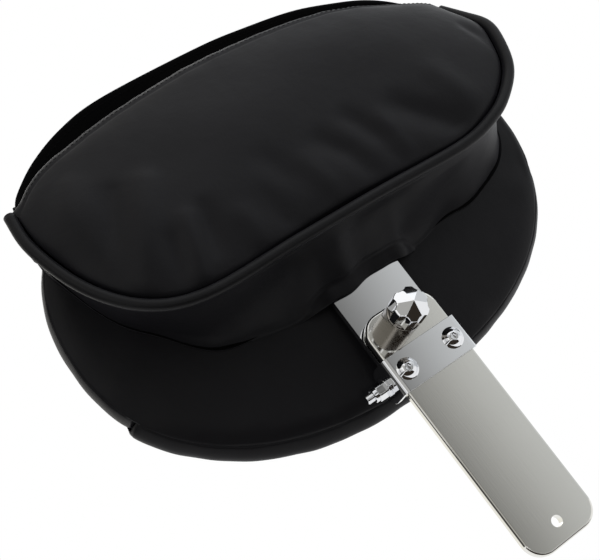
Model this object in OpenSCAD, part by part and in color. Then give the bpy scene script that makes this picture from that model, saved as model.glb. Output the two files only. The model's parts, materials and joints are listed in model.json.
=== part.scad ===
// Rider's backrest: an oval padded rest with a sewn pouch on its rear, carried by a flat bar
// that folds forward in a clevis on a polished mounting blade.
// +X is to the right seen from the rear, +Y is forward, +Z is up.
// The origin is in the blade's mounting hole, half way through the blade.

/* [Blade] */
// Width of the flat blade
blade_w = 50.8; // [44:0.1:60]
// Thickness of the blade
blade_t = 6; // [5:0.25:8]
// Blade below the mounting hole
blade_tail = 12.5; // [10:0.5:25]
// Radius of the blade's four corners
blade_corner_r = 13; // [6:0.5:18]
// Radius of the blade's long edges
blade_edge_r = 1.6; // [0.6:0.1:2.2]
// Diameter of the mounting hole
mount_hole_d = 7; // [5:0.5:9]

/* [Clevis] */
// Height of the pivot above the mounting hole
pivot_rise = 118; // [100:1:140]
// Height of the clevis strap
clevis_h = 23.6; // [20:0.2:24]
// Thickness of the clevis plate
clevis_t = 2.5; // [2:0.1:3.5]
// Outer radius of the clevis bends
clevis_bend_r = 4; // [3.5:0.25:5]
// Side clearance between blade and clevis
clevis_gap = 0.1; // [0.05:0.05:0.3]
// Distance between the two clevis screws
screw_pitch = 34.8; // [30:0.2:36]
// Thread diameter of the clevis screws
screw_d = 6; // [5:0.5:7]
// Flange diameter of the clevis screws
screw_flange_d = 13.6; // [12.5:0.2:14]
// Head diameter of the clevis screws
screw_head_d = 10.8; // [9.5:0.1:11.5]
// Head height of the clevis screws
screw_head_h = 3.3; // [3:0.1:4]
// Hexagon socket of the clevis screws across its flats
socket_af = 4; // [3:0.5:5]

/* [Hinge] */
// Gap between blade and support bar
bar_gap = 2; // [1.5:0.1:3]
// Thickness of the support bar
bar_t = 5; // [4:0.25:6]
// Side clearance of the support bar in the clevis
bar_side_gap = 0.5; // [0.3:0.05:1]
// Diameter of the pivot bolt
pivot_d = 6; // [5:0.5:6.5]
// Outer diameter of the hinge barrel
barrel_d = 12; // [11:0.25:12.5]
// Diameter of the pivot washers
washer_d = 12; // [10:0.5:14]
// Thickness of the pivot washers
washer_t = 1.6; // [1:0.1:2]
// Pivot nut across its flats
nut_af = 10; // [9.5:0.5:11]
// Length of the nut's hexagon
nut_hex_h = 6.5; // [5:0.5:9]
// Length of the nut's round collar
nut_collar_h = 2.5; // [1.5:0.5:3]
// Bolt end that stands out of the nut
bolt_end = 4.7; // [2:0.1:8]
// Head diameter of the pivot bolt
bolt_head_d = 10.5; // [9:0.5:12]
// Head height of the pivot bolt
bolt_head_h = 3.3; // [2.5:0.1:4]

/* [Adjuster] */
// Height of the adjuster above the pivot
adjuster_rise = 25.3; // [24.5:0.1:30]
// Sideways place of the adjuster
adjuster_x = -4.5; // [-8:0.5:8]
// Blade beyond the adjuster's axis
blade_head = 12; // [11.5:0.5:16]
// Diameter of the threaded boss
boss_d = 21.6; // [18:0.2:24]
// Height of the threaded boss
boss_h = 18; // [10:0.5:20]
// Diameter of the stud
stud_d = 8; // [6:0.5:10]
// Diameter of the knob across its lobes
knob_d = 21.8; // [18:0.2:26]
// Diameter of the knob between opposite flutes
knob_root_d = 18.4; // [15:0.2:18.6]
// Height of the knob's fluted side at its lobes
knob_side_h = 13.6; // [8:0.2:16]
// Height of the knob's pointed top
knob_point_h = 5.8; // [3:0.2:9]

/* [Support bar] */
// Bar above the centre of the pad
bar_over = 60; // [54:1:70]
// Corner radius of the bar's upper end
bar_corner_r = 8; // [3:0.5:12]
// Sideways distance of the bar's fixing screws
fixing_pitch_x = 28; // [22:1:34]
// Upright distance of the bar's fixing screws
fixing_pitch_z = 60; // [40:1:70]
// Thread diameter of the fixing screws
fixing_d = 6; // [5:0.5:6]
// Upper fixing screws below the bar's upper end
fixing_margin = 20; // [16:1:26]

/* [Pad] */
// Width of the pad
pad_w = 334; // [310:1:360]
// Height of the pad
pad_h = 240; // [220:1:260]
// Roundness of the pad's outline, where 2 is an ellipse
pad_power = 2.22; // [2:0.02:2.8]
// Lowest edge of the pad below the pivot
pad_below = 7; // [0:0.5:9]
// Bulge of the pad's rear
rear_crown = 12.5; // [12:0.5:18]
// Width of the side bands
band_w = 22; // [18:0.5:34]
// Bulge of the pad's front
front_crown = 22; // [10:0.5:30]
// Height of the seams between the bands, below the pad's centre
band_seam_drop = 47; // [30:1:60]
// Thickness of the covers
cover_t = 1.6; // [1.2:0.1:2.2]
// Thickness of the moulded pan under the foam
pan_t = 4; // [3:0.25:5]

/* [Pouch] */
// Width of the pouch's front panel
pouch_w = 314; // [290:1:330]
// Height of the pouch's widest level above the pad's centre
waist_rise = 59; // [54:1:66]
// Lower edge of the front panel below the pad's centre
front_foot = 28.5; // [22:0.5:34]
// Lower edge of the back panel below the pad's centre
back_foot = 51; // [45:1:54]
// How much the pouch narrows on each side towards the pad
back_tuck = 13; // [8:0.5:18]
// Height of the mouth's corners above the pad's centre
mouth_rise = 76; // [70:1:90]
// Rise of the front hem from its corners to its middle
hem_arch = 28; // [15:1:35]
// Height of the rear rim above the pad's centre
rim_rise = 130; // [124:1:140]
// Depth of the front panel's lower edge behind the rear of the bar
pouch_depth = 56; // [45:1:65]
// Depth of the mouth's corners behind the rear of the bar
mouth_depth = 23; // [18:1:30]
// Bulge of the pouch's front panel
pouch_bulge = 17; // [8:1:20]
// Share of the way down from the hem at which the bulge is deepest
bulge_place = 0.36; // [0.3:0.02:0.5]
// How far the middle of the hem leans in towards the pad
hem_lean = 4; // [0:0.5:4]
// Diameter of the piping
piping_d = 7; // [4:0.25:8]
// Lean of the pouch's rear rim away from the pad
rim_lean = 17; // [12:1:20]
// Height above the pad's centre from which the rim leans
lean_rise = 49; // [44:1:56]

/* [Hidden] */
$fn = 64;

// Clearances
seat = 0.3;
run_fit = 0.05;
thread_fit = 0.03;
eps = 0.01;

// Depths along Y, from the blade to the rider's side
blade_back = -blade_t / 2;
blade_front = blade_t / 2;
bar_back = blade_front + bar_gap;
bar_front = bar_back + bar_t;
pivot_y = bar_back + barrel_d / 2;
pad_back = bar_front + seat + cover_t + seat;
rear_seam_y = pad_back + rear_crown;
front_seam_y = rear_seam_y + band_w;

// Heights along Z
pivot_z = pivot_rise;
adjuster_z = pivot_z + adjuster_rise;
blade_top = adjuster_z + blade_head;
pad_z = pivot_z - pad_below + pad_h / 2;
bar_top = pad_z + bar_over;
fixing_z = bar_top - fixing_margin - fixing_pitch_z / 2;

// Widths along X
ear_in = blade_w / 2 + clevis_gap;
ear_out = ear_in + clevis_t;
bar_half_w = ear_in - bar_side_gap;

// Pouch loops, measured from the middle of the pouch
pouch_z = pad_z + waist_rise;
loop_drop = waist_rise + front_foot;
mouth_over = mouth_rise - waist_rise;
loop_power = 3.4;
back_drop = waist_rise + back_foot;
back_half_w = pouch_w / 2 - back_tuck;
back_power = 2.7;
lean_z = pad_z + lean_rise;
front_corner_a = 180 - atan(mouth_over / (pouch_w / 2));
back_corner_a = 165;
loop_steps = 44;
rim_steps = 20;
pad_steps = 60;

// A point on a rounded outline at angle a, as [x, z] from its centre
function outline_r(hw, hh, power, a) =
    1 / pow(pow(abs(cos(a)) / hw, power) + pow(abs(sin(a)) / hh, power), 1 / power);
function outline(hw, hh, power, a) =
    outline_r(hw, hh, power, a) * [cos(a), sin(a)];

// Surface of the pad's rear, and of the pouch's rear panel that lies on it
function pad_share(x, z) =
    min(1, pow(pow(abs(2 * x / pad_w), pad_power) + pow(abs(2 * (z - pad_z) / pad_h), pad_power),
        2 / pad_power));
function pad_rear_y(x, z) = pad_back + rear_crown * pad_share(x, z);
function lean(z) = rim_lean * max(0, z - lean_z) / (pad_z + rim_rise - lean_z);
function pouch_back_y(x, z) = pad_rear_y(x, z) - seat - lean(z);

// Ring of points at a share of the pad's outline, on a depth that depends on that share
function pad_ring(share, inset, y) = [
    for (i = [0 : pad_steps - 1])
        let (p = outline(pad_w / 2 - inset, pad_h / 2 - inset, pad_power, i * 360 / pad_steps))
        [share * p.x, y, pad_z + share * p.y]
];

// Closed skin over rings of points, with a point at each end
module skin(rings, first, last) {
    n = len(rings[0]);
    m = len(rings);
    end = 1 + n * m;
    polyhedron(
        points = concat([first], [for (r = rings) each r], [last]),
        faces = concat(
            [for (i = [0 : n - 1]) [0, 1 + (i + 1) % n, 1 + i]],
            [for (j = [0 : m - 2], i = [0 : n - 1])
                [1 + j * n + i, 1 + j * n + (i + 1) % n, 1 + (j + 1) * n + i]],
            [for (j = [0 : m - 2], i = [0 : n - 1])
                [1 + j * n + (i + 1) % n, 1 + (j + 1) * n + (i + 1) % n, 1 + (j + 1) * n + i]],
            [for (i = [0 : n - 1]) [end, 1 + (m - 1) * n + i, 1 + (m - 1) * n + (i + 1) % n]]
        ),
        convexity = 6
    );
}

function middle(points) = [for (k = [0 : 2]) [for (p = points) p[k]] * [for (p = points) 1] / len(points)];

// Lies a profile drawn in X and Z on the part, growing forward from depth y
module forward(y, depth) {
    translate([0, y + depth, 0]) rotate([90, 0, 0]) linear_extrude(depth) children();
}

// Cylinder along Y from depth y0 to y1
module rod_y(x, z, d, y0, y1) {
    translate([x, y1, z]) rotate([90, 0, 0]) cylinder(d = d, h = y1 - y0);
}

// Cylinder along X from x0 to x1 on the pivot axis
module rod_pivot(d, x0, x1) {
    translate([x0, pivot_y, pivot_z]) rotate([0, 90, 0]) cylinder(d = d, h = x1 - x0);
}

// Flat rectangle with four round corners, from its lower left to its upper right
module round_rect(x0, z0, x1, z1, r) {
    translate([x0 + r, z0]) square([x1 - x0 - 2 * r, z1 - z0]);
    translate([x0, z0 + r]) square([x1 - x0, z1 - z0 - 2 * r]);
    for (x = [x0 + r, x1 - r], z = [z0 + r, z1 - r]) translate([x, z]) circle(r);
}

// Section of a plate's edge: its outer side is at x = w and has two round corners
module edge_section(w, t, r) {
    translate([0, -t / 2]) square([w - r, t]);
    translate([0, -t / 2 + r]) square([w, t - 2 * r]);
    for (s = [-1, 1]) translate([w - r, s * (t / 2 - r)]) circle(r);
}

// Plate across X and Z with round corners and round edges
module soft_plate(w, z0, z1, t, corner_r, edge_r) {
    core_w = w - 2 * corner_r;
    core_h = z1 - z0 - 2 * corner_r;
    translate([-core_w / 2, -t / 2, z0 + corner_r]) cube([core_w, t, core_h]);
    for (s = [-1, 1]) {
        translate([s * core_w / 2, 0, z0 + corner_r]) linear_extrude(core_h)
            scale([s, 1]) edge_section(corner_r, t, edge_r);
        translate([0, 0, s > 0 ? z1 - corner_r : z0 + corner_r]) rotate([0, -90, 0])
            translate([0, 0, -core_w / 2]) linear_extrude(core_w)
            scale([s, 1]) edge_section(corner_r, t, edge_r);
    }
    for (s = [-1, 1], z = [z0 + corner_r, z1 - corner_r])
        translate([s * core_w / 2, 0, z]) rotate([90, 0, 0])
            rotate_extrude() edge_section(corner_r, t, edge_r);
}

// Mounting blade with the mounting hole, two tapped holes and the stud's thread
module blade() {
    color("silver") difference() {
        soft_plate(blade_w, -blade_tail, blade_top, blade_t, blade_corner_r, blade_edge_r);
        rod_y(0, 0, mount_hole_d, -blade_t, blade_t);
        for (s = [-1, 1])
            rod_y(s * screw_pitch / 2, pivot_z, screw_d + 2 * thread_fit, -blade_t, blade_t);
        rod_y(adjuster_x, adjuster_z, stud_d + 2 * run_fit, -blade_t, blade_t);
    }
}

// Section of the clevis: a strap across the rear of the blade, with an ear down each side
module clevis_section() {
    outer = clevis_bend_r;
    inner = max(0.5, clevis_bend_r - clevis_t);
    ear_end = pivot_y + clevis_h;
    back = blade_back - clevis_t;
    difference() {
        round_rect(-ear_out, back, ear_out, ear_end, outer);
        round_rect(-ear_in, blade_back, ear_in, ear_end + 2 * outer, inner);
    }
}

// Clevis bent from one plate, with round ear ends about the pivot
module clevis_bracket() {
    color("gainsboro") difference() {
        intersection() {
            translate([0, 0, pivot_z - clevis_h / 2]) linear_extrude(clevis_h) clevis_section();
            union() {
                rod_pivot(clevis_h, -ear_out - 1, ear_out + 1);
                translate([-ear_out - 1, blade_back - clevis_t - 1, pivot_z - clevis_h / 2])
                    cube([2 * ear_out + 2, pivot_y - blade_back + clevis_t + 1, clevis_h]);
            }
        }
        rod_pivot(pivot_d + 4 * run_fit, -ear_out - 1, ear_out + 1);
        for (s = [-1, 1])
            rod_y(s * screw_pitch / 2, pivot_z, screw_d + 0.4, blade_back - clevis_t - 1, blade_back + 1);
    }
}

// Button head along Z, standing on z = 0, with a hexagon socket
module button_head(d, h, af, depth) {
    crown_r = (d * d / 4 + h * h) / (2 * h) * 1.15;
    drop = crown_r - sqrt(crown_r * crown_r - d * d / 16);
    difference() {
        intersection() {
            cylinder(d = d, h = h);
            translate([0, 0, h + drop - crown_r]) sphere(r = crown_r, $fn = 96);
        }
        translate([0, 0, h - depth]) cylinder(d = af / cos(30), h = depth + 1, $fn = 6);
    }
}

// Clevis screw in its place, on the left (side -1) or right (side 1)
module clevis_screw(side) {
    head_seat = blade_back - clevis_t;
    socket_depth = screw_head_h * 0.6;
    color("silver") translate([side * screw_pitch / 2, head_seat, pivot_z]) rotate([90, 0, 0]) {
        button_head(screw_head_d, screw_head_h, socket_af, socket_depth);
        difference() {
            cylinder(d1 = screw_flange_d, d2 = screw_head_d - 1, h = 1.5);
            translate([0, 0, screw_head_h - socket_depth])
                cylinder(d = socket_af / cos(30), h = socket_depth, $fn = 6);
        }
        translate([0, 0, -clevis_t - blade_t]) cylinder(d = screw_d, h = clevis_t + blade_t + eps);
    }
}

module clevis_screw_left() clevis_screw(-1);
module clevis_screw_right() clevis_screw(1);

// Boss welded to the rear of the blade, threaded for the stud
module adjuster_boss() {
    color("dimgray") difference() {
        union() {
            rod_y(adjuster_x, adjuster_z, boss_d, blade_back - boss_h + 0.8, blade_back);
            rod_y(adjuster_x, adjuster_z, boss_d - 1.6, blade_back - boss_h, blade_back);
        }
        rod_y(adjuster_x, adjuster_z, stud_d + 2 * run_fit, blade_back - boss_h - 1, blade_back + 1);
    }
}

stud_tip_y = bar_back - seat / 2;
knob_seat_y = blade_back - boss_h - seat;
knob_bore_depth = knob_side_h * 0.7;

// Stud that bears on the support bar
module adjuster_stud() {
    color("silver")
        rod_y(adjuster_x, adjuster_z, stud_d, knob_seat_y - knob_bore_depth + seat, stud_tip_y);
}

// Fluted knob with a six-sided pointed top; its ridges run to the flutes
module adjuster_knob() {
    top_h = knob_side_h + knob_point_h;
    flute_r = knob_d * 0.28;
    ridge_r = knob_d / 2 / cos(30);
    color("silver") translate([adjuster_x, knob_seat_y, adjuster_z]) rotate([90, 0, 0]) difference() {
        intersection() {
            union() {
                cylinder(d = knob_d - 1.4, h = 0.7 + eps);
                translate([0, 0, 0.7]) cylinder(d = knob_d, h = top_h);
            }
            rotate([0, 0, 30]) translate([0, 0, -top_h]) cylinder(
                r1 = ridge_r * (2 * top_h) / knob_point_h, r2 = 0, h = 2 * top_h, $fn = 6);
        }
        for (i = [0 : 5]) rotate([0, 0, 30 + 60 * i])
            translate([knob_root_d / 2 + flute_r, 0, -1]) cylinder(r = flute_r, h = top_h + 2);
        translate([0, 0, -1]) cylinder(d = stud_d + 2 * run_fit, h = knob_bore_depth + 1);
    }
}

// Pivot bolt: head on the right, threaded end out of the nut on the left
bolt_tip = -ear_out - washer_t - nut_hex_h - nut_collar_h - bolt_end;
bolt_seat = ear_out + washer_t;

module pivot_bolt() {
    color("silver") {
        rod_pivot(pivot_d, bolt_tip + 0.8, bolt_seat);
        rod_pivot(pivot_d - 1.4, bolt_tip, bolt_tip + 1);
        translate([bolt_seat, pivot_y, pivot_z]) rotate([0, 90, 0])
            button_head(bolt_head_d, bolt_head_h, pivot_d * 2 / 3, bolt_head_h * 0.6);
    }
}

module pivot_washer(x) {
    color("silver") difference() {
        rod_pivot(washer_d, x, x + washer_t);
        rod_pivot(pivot_d + 4 * run_fit, x - 1, x + washer_t + 1);
    }
}

module pivot_washer_left() pivot_washer(-ear_out - washer_t);
module pivot_washer_right() pivot_washer(ear_out);

// Lock nut: a hexagon with a round collar at its outer end
module pivot_nut() {
    hex_start = -ear_out - washer_t;
    color("silver") difference() {
        union() {
            translate([hex_start, pivot_y, pivot_z]) rotate([0, -90, 0]) intersection() {
                cylinder(d = nut_af / cos(30), h = nut_hex_h, $fn = 6);
                cylinder(d = nut_af * 1.1, h = nut_hex_h);
            }
            rod_pivot(nut_af - 0.8, hex_start - nut_hex_h - nut_collar_h, hex_start - nut_hex_h + eps);
        }
        rod_pivot(pivot_d + 2 * thread_fit, bolt_tip, hex_start + 1);
    }
}

// Barrel welded to the foot of the support bar
module hinge_barrel() {
    color("gray") difference() {
        rod_pivot(barrel_d, -bar_half_w, bar_half_w);
        rod_pivot(pivot_d + 2 * run_fit, -bar_half_w - 1, bar_half_w + 1);
    }
}

fixing_places = [for (z = [-1, 1], x = [-1, 1]) [x * fixing_pitch_x / 2, fixing_z + z * fixing_pitch_z / 2]];

// Flat bar from the barrel up through the pouch to the middle of the pad
module support_bar() {
    color("lightsteelblue") difference() {
        forward(bar_back, bar_t) union() {
            translate([-bar_half_w, pivot_z]) square([2 * bar_half_w, bar_top - bar_corner_r - pivot_z]);
            round_rect(-bar_half_w, pivot_z + 60, bar_half_w, bar_top, bar_corner_r);
        }
        rod_pivot(barrel_d + 2 * run_fit, -ear_out, ear_out);
        for (p = fixing_places) rod_y(p.x, p.y, fixing_d + 0.6, bar_back - 1, bar_front + 1);
    }
}

// Fixing screw through the bar into its tee nut
fixing_head_d = 1.75 * fixing_d;
fixing_head_h = 0.55 * fixing_d;
tee_barrel_d = fixing_d + 2;
tee_flange_d = 3 * fixing_d;
tee_flange_t = 1.5;

function pan_back_y(x, z) = pad_rear_y(x, z) + cover_t + seat;
function tee_seat_y(i) = pan_back_y(fixing_places[i].x, fixing_places[i].y) + pan_t - seat;

module fixing_screw(i) {
    p = fixing_places[i];
    color("silver") {
        translate([p.x, bar_back, p.y]) rotate([90, 0, 0])
            button_head(fixing_head_d, fixing_head_h, fixing_d * 2 / 3, fixing_head_h * 0.6);
        rod_y(p.x, p.y, fixing_d, bar_back - eps, tee_seat_y(i) + tee_flange_t);
    }
}

module fixing_screw_1() fixing_screw(0);
module fixing_screw_2() fixing_screw(1);
module fixing_screw_3() fixing_screw(2);
module fixing_screw_4() fixing_screw(3);

// Tee nut with its flange on the front of the pan
module tee_nut(i) {
    p = fixing_places[i];
    y = tee_seat_y(i);
    color("goldenrod") difference() {
        union() {
            rod_y(p.x, p.y, tee_flange_d, y, y + tee_flange_t);
            rod_y(p.x, p.y, tee_barrel_d, y - pan_t + 2 * seat, y + eps);
        }
        rod_y(p.x, p.y, fixing_d + 2 * thread_fit, y - pan_t - 1, y + tee_flange_t + 1);
    }
}

module tee_nut_1() tee_nut(0);
module tee_nut_2() tee_nut(1);
module tee_nut_3() tee_nut(2);
module tee_nut_4() tee_nut(3);

// Holes for the fixing screws through a sheet between depths y0 and y1
module fixing_holes(d, y0, y1) {
    for (p = fixing_places) rod_y(p.x, p.y, d, y0, y1);
}

pan_inset = cover_t + 4;
shares = [0.25, 0.5, 0.75, 1];
shares_back = [1, 0.75, 0.5, 0.25];

// Depth of a dished layer at a share of the pad's outline, in front of the rear surface
function dish_y(share, layer) = pad_back + rear_crown * share * share + layer;

// Moulded pan that takes the fixing screws and carries the foam
module base_pan() {
    layer = cover_t + seat;
    color("dimgray") difference() {
        skin(
            concat(
                [for (s = shares) pad_ring(s, pan_inset, dish_y(s, layer))],
                [for (s = shares_back) pad_ring(s, pan_inset, dish_y(s, layer + pan_t))]
            ),
            [0, dish_y(0, layer), pad_z],
            [0, dish_y(0, layer + pan_t), pad_z]
        );
        fixing_holes(tee_barrel_d + 0.6, pad_back, pad_back + rear_crown + pan_t + 8);
        for (i = [0 : 3]) rod_y(fixing_places[i].x, fixing_places[i].y, tee_flange_d + 1,
            tee_seat_y(i), pad_back + rear_crown + pan_t + 8);
    }
}

// Depth of the pad's front surface at a share of its outline
function front_y(share) = front_seam_y + front_crown * (1 - pow(share, 2.6));

// Foam between the pan and the covers
module foam_cushion() {
    layer = cover_t + pan_t + 2 * seat;
    inset = cover_t + seat;
    pocket = seat * 3 + tee_flange_t;
    color("khaki") difference() {
        skin(
            concat(
                [for (s = shares) pad_ring(s, pan_inset, dish_y(s, layer))],
                [pad_ring(1, inset, rear_seam_y + layer), pad_ring(1, inset, front_seam_y - cover_t - seat)],
                [for (s = [0.97, 0.88, 0.7, 0.45, 0.2]) pad_ring(s, inset, front_y(s) - cover_t - seat)]
            ),
            [0, dish_y(0, layer), pad_z],
            [0, front_y(0) - cover_t - seat, pad_z]
        );
        for (i = [0 : 3]) rod_y(fixing_places[i].x, fixing_places[i].y, tee_flange_d + 1,
            pad_back, tee_seat_y(i) + pocket);
    }
}

// Rear cover panel, with holes for the fixing screws
module rear_cover() {
    color("black") difference() {
        skin(
            concat(
                [for (s = shares) pad_ring(s, 0, dish_y(s, 0))],
                [for (s = shares_back) pad_ring(s, 0, dish_y(s, cover_t))]
            ),
            [0, dish_y(0, 0), pad_z],
            [0, dish_y(0, cover_t), pad_z]
        );
        fixing_holes(fixing_d + 1, pad_back - 2, pad_back + rear_crown + cover_t);
    }
}

// Front cover panel on the rider's side
module front_cover() {
    color("black") skin(
        concat(
            [for (s = [0.2, 0.45, 0.7, 0.88, 0.97]) pad_ring(s, 0, front_y(s) - cover_t)],
            [pad_ring(1, 0, front_seam_y - cover_t / 2)],
            [for (s = [0.97, 0.88, 0.7, 0.45, 0.2]) pad_ring(s, 0, front_y(s))]
        ),
        [0, front_y(0) - cover_t, pad_z],
        [0, front_y(0), pad_z]
    );
}

// Angle of the seams between the lower and the upper band
band_seam_a = atan(band_seam_drop / (pad_w / 2 * 0.93));

// Strip of the side band between two angles, round the pad's outline
module band(a0, a1, steps) {
    y0 = rear_seam_y + cover_t + seat;
    y1 = front_seam_y - cover_t - seat;
    slit = 0.1;
    angles = [for (i = [0 : steps]) a0 + slit + i * (a1 - a0 - 2 * slit) / steps];
    color("black") forward(y0, y1 - y0) translate([0, pad_z]) polygon(concat(
        [for (a = angles) outline(pad_w / 2, pad_h / 2, pad_power, a)],
        [for (i = [steps : -1 : 0]) outline(pad_w / 2 - cover_t, pad_h / 2 - cover_t, pad_power, angles[i])]
    ));
}

module lower_band() band(180 + band_seam_a, 360 - band_seam_a, 36);
module upper_band() band(-band_seam_a, 180 + band_seam_a, 44);

// Pouch: its front loop carries the piping, its back loop lies on the pad
function mix(a, b, t) = a + (b - a) * t;
function front_loop_a(t) = mix(front_corner_a, 540 - front_corner_a, t);
function back_loop_a(t) = mix(back_corner_a, 540 - back_corner_a, t);
function front_depth_y(z) =
    bar_back - mix(pouch_depth, mouth_depth, (z - pouch_z + loop_drop) / (loop_drop + mouth_over));
function front_loop(t, inset) =
    let (p = outline(pouch_w / 2 - inset, loop_drop - inset, loop_power, front_loop_a(t)))
    [p.x, front_depth_y(pouch_z + p.y), pouch_z + p.y];
function back_loop(t, inset) =
    let (p = outline(back_half_w - inset, back_drop - inset, back_power, back_loop_a(t)))
    [p.x, pouch_back_y(p.x, pouch_z + p.y) - cover_t - seat, pouch_z + p.y];

// Upper edge of the front panel and of the back panel, from right to left
function arch(t) = 1 - pow(abs(2 * t - 1), 2.6);
function top_edge(corner, height, t) = [corner.x * (1 - 2 * t), corner.y, corner.z + height * arch(t)];

front_inset = piping_d / 2 + seat;
front_corner = front_loop(1, front_inset);
back_corner = back_loop(1, 0);

back_edge = concat(
    [for (i = [0 : loop_steps]) back_loop(i / loop_steps, 0)],
    [for (i = [1 : rim_steps - 1])
        top_edge(back_corner, pad_z + rim_rise - back_corner.z, i / rim_steps)]
);

// Fullness of the front panel on the way down from the hem, where 1 is its deepest
function bulge(down) =
    pow(down / bulge_place, 0.45) * pow((1 - down) / (1 - bulge_place), 0.8);

// Hem of the front panel from left to right; its middle is raised and leans in
function hem_point(t) =
    [front_corner.x * (2 * t - 1), front_corner.y + hem_lean * arch(t), front_corner.z + hem_arch * arch(t)];
panel_drop = norm(hem_point(0.5) - front_loop(0.5, front_inset));

// Point of the front panel, t across from the left and down from the hem to the piping
function front_point(t, down, layer) =
    let (
        hem = hem_point(t),
        seam = front_loop(t, front_inset),
        full = pow(min(1, norm(hem - seam) / panel_drop), 0.9)
    )
    mix(hem, seam, down) + [0, layer - pouch_bulge * full * bulge(down), 0];

front_rows = [0, 0.05, 0.14, 0.28, 0.44, 0.6, 0.76, 0.9, 1];
front_rows_back = [1, 0.9, 0.76, 0.6, 0.44, 0.28, 0.14, 0.05, 0];

module pouch_front() {
    columns = [for (i = [1 : loop_steps - 1]) concat(
        [for (down = front_rows) front_point(i / loop_steps, down, 0)],
        [for (down = front_rows_back) front_point(i / loop_steps, down, cover_t)]
    )];
    color("black") skin(columns, hem_point(0), hem_point(1));
}

back_centre_z = pad_z + (rim_rise - back_foot) / 2;

// Back panel ring at a share of its edge, on the surface that follows the pad
function back_ring(share, layer) = [
    for (p = back_edge)
        let (x = share * p.x, z = mix(back_centre_z, p.z, share))
        [x, pouch_back_y(x, z) - layer, z]
];

module pouch_back() {
    s = [0.2, 0.42, 0.64, 0.82, 1];
    color("black") difference() {
        skin(
            concat(
                [for (i = [0 : 4]) back_ring(s[i], cover_t)],
                [for (i = [4 : -1 : 0]) back_ring(s[i], 0)]
            ),
            [0, pouch_back_y(0, back_centre_z) - cover_t, back_centre_z],
            [0, pouch_back_y(0, back_centre_z), back_centre_z]
        );
        fixing_holes(fixing_d + 1, bar_back, pad_back + rear_crown);
    }
}

// Gusset between the two loops, with a slot at its rear edge where the bar comes out
gusset_shares = [0, 0.3, 0.65, 1];

function gusset_point(t, share, inset) =
    let (
        a = front_loop(t, inset) + [0, piping_d / 2 + seat, 0],
        b = back_loop(t, inset),
        sag = 5 * sin(180 * share)
    )
    mix(a, b, share) * (1 - sag * 0.0018) + [0, 0, pouch_z * sag * 0.0018];

function gusset_ring(t) = concat(
    [for (s = gusset_shares) gusset_point(t, s, 0)],
    [for (i = [len(gusset_shares) - 1 : -1 : 0]) gusset_point(t, gusset_shares[i], cover_t)]
);

module pouch_gusset() {
    rings = [for (i = [0 : loop_steps]) gusset_ring(i / loop_steps)];
    color("black") difference() {
        skin(rings, middle(rings[0]), middle(rings[loop_steps]));
        translate([-bar_half_w - 1, bar_back - 1.5, pouch_z - back_drop - 20])
            cube([2 * bar_half_w + 2, 30, 40]);
    }
}

// Piping round the lower edge of the front panel
piping_sides = 8;
module pouch_piping() {
    slope = (pouch_depth - mouth_depth) / (loop_drop + mouth_over);
    out = [0, -1, -slope] / norm([0, -1, -slope]);
    path = [for (i = [0 : loop_steps]) front_loop(i / loop_steps, 0)];
    function along(i) =
        let (v = path[min(i + 1, loop_steps)] - path[max(i - 1, 0)]) v / norm(v);
    function ring(i) = [
        for (k = [0 : piping_sides - 1])
            let (a = k * 360 / piping_sides, side = cross(along(i), out))
            path[i] + piping_d / 2 * (cos(a) * out + sin(a) * side)
    ];
    color("black") skin([for (i = [0 : loop_steps]) ring(i)], path[0], path[loop_steps]);
}

blade();
clevis_bracket();
clevis_screw_left();
clevis_screw_right();
adjuster_boss();
adjuster_stud();
adjuster_knob();
pivot_bolt();
pivot_washer_left();
pivot_washer_right();
pivot_nut();
hinge_barrel();
support_bar();
fixing_screw_1();
fixing_screw_2();
fixing_screw_3();
fixing_screw_4();
tee_nut_1();
tee_nut_2();
tee_nut_3();
tee_nut_4();
base_pan();
foam_cushion();
rear_cover();
lower_band();
upper_band();
front_cover();
pouch_back();
pouch_gusset();
pouch_front();
pouch_piping();
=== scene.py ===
import json
import math

import bmesh
import bpy
import numpy as np
from mathutils import Matrix, Vector, kdtree
from mathutils.bvhtree import BVHTree


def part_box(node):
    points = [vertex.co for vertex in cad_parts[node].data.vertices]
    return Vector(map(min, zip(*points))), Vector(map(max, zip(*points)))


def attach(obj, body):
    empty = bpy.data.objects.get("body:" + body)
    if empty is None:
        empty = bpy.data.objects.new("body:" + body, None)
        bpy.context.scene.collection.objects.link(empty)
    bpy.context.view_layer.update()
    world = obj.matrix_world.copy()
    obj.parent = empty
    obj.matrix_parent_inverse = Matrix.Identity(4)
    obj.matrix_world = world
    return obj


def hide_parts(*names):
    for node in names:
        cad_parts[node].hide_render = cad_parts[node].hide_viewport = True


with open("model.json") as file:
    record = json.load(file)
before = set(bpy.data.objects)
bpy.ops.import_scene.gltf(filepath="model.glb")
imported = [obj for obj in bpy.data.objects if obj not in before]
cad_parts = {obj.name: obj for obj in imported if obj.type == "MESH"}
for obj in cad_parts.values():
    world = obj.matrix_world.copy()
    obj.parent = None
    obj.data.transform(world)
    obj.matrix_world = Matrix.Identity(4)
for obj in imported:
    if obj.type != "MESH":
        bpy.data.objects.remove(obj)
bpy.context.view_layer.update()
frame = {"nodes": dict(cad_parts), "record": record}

# Measures, in millimetres
# Points on the soft goods are written (across, up, behind). "Behind" is counted from the
# rear face of the blade towards the tail of the bike.
BLADE_REAR = -3.0
PAD_UP = 231.0
PAD_HALF_HEIGHT = 120.0
PAD_POWER = 2.22
PAD_REAR = 12.2
REAR_CROWN = 12.5
BAND_WIDTH = 22.0
FRONT_CROWN = 22.0
LEATHER = 1.2
CUSHION_CAP = 5.0
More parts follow.
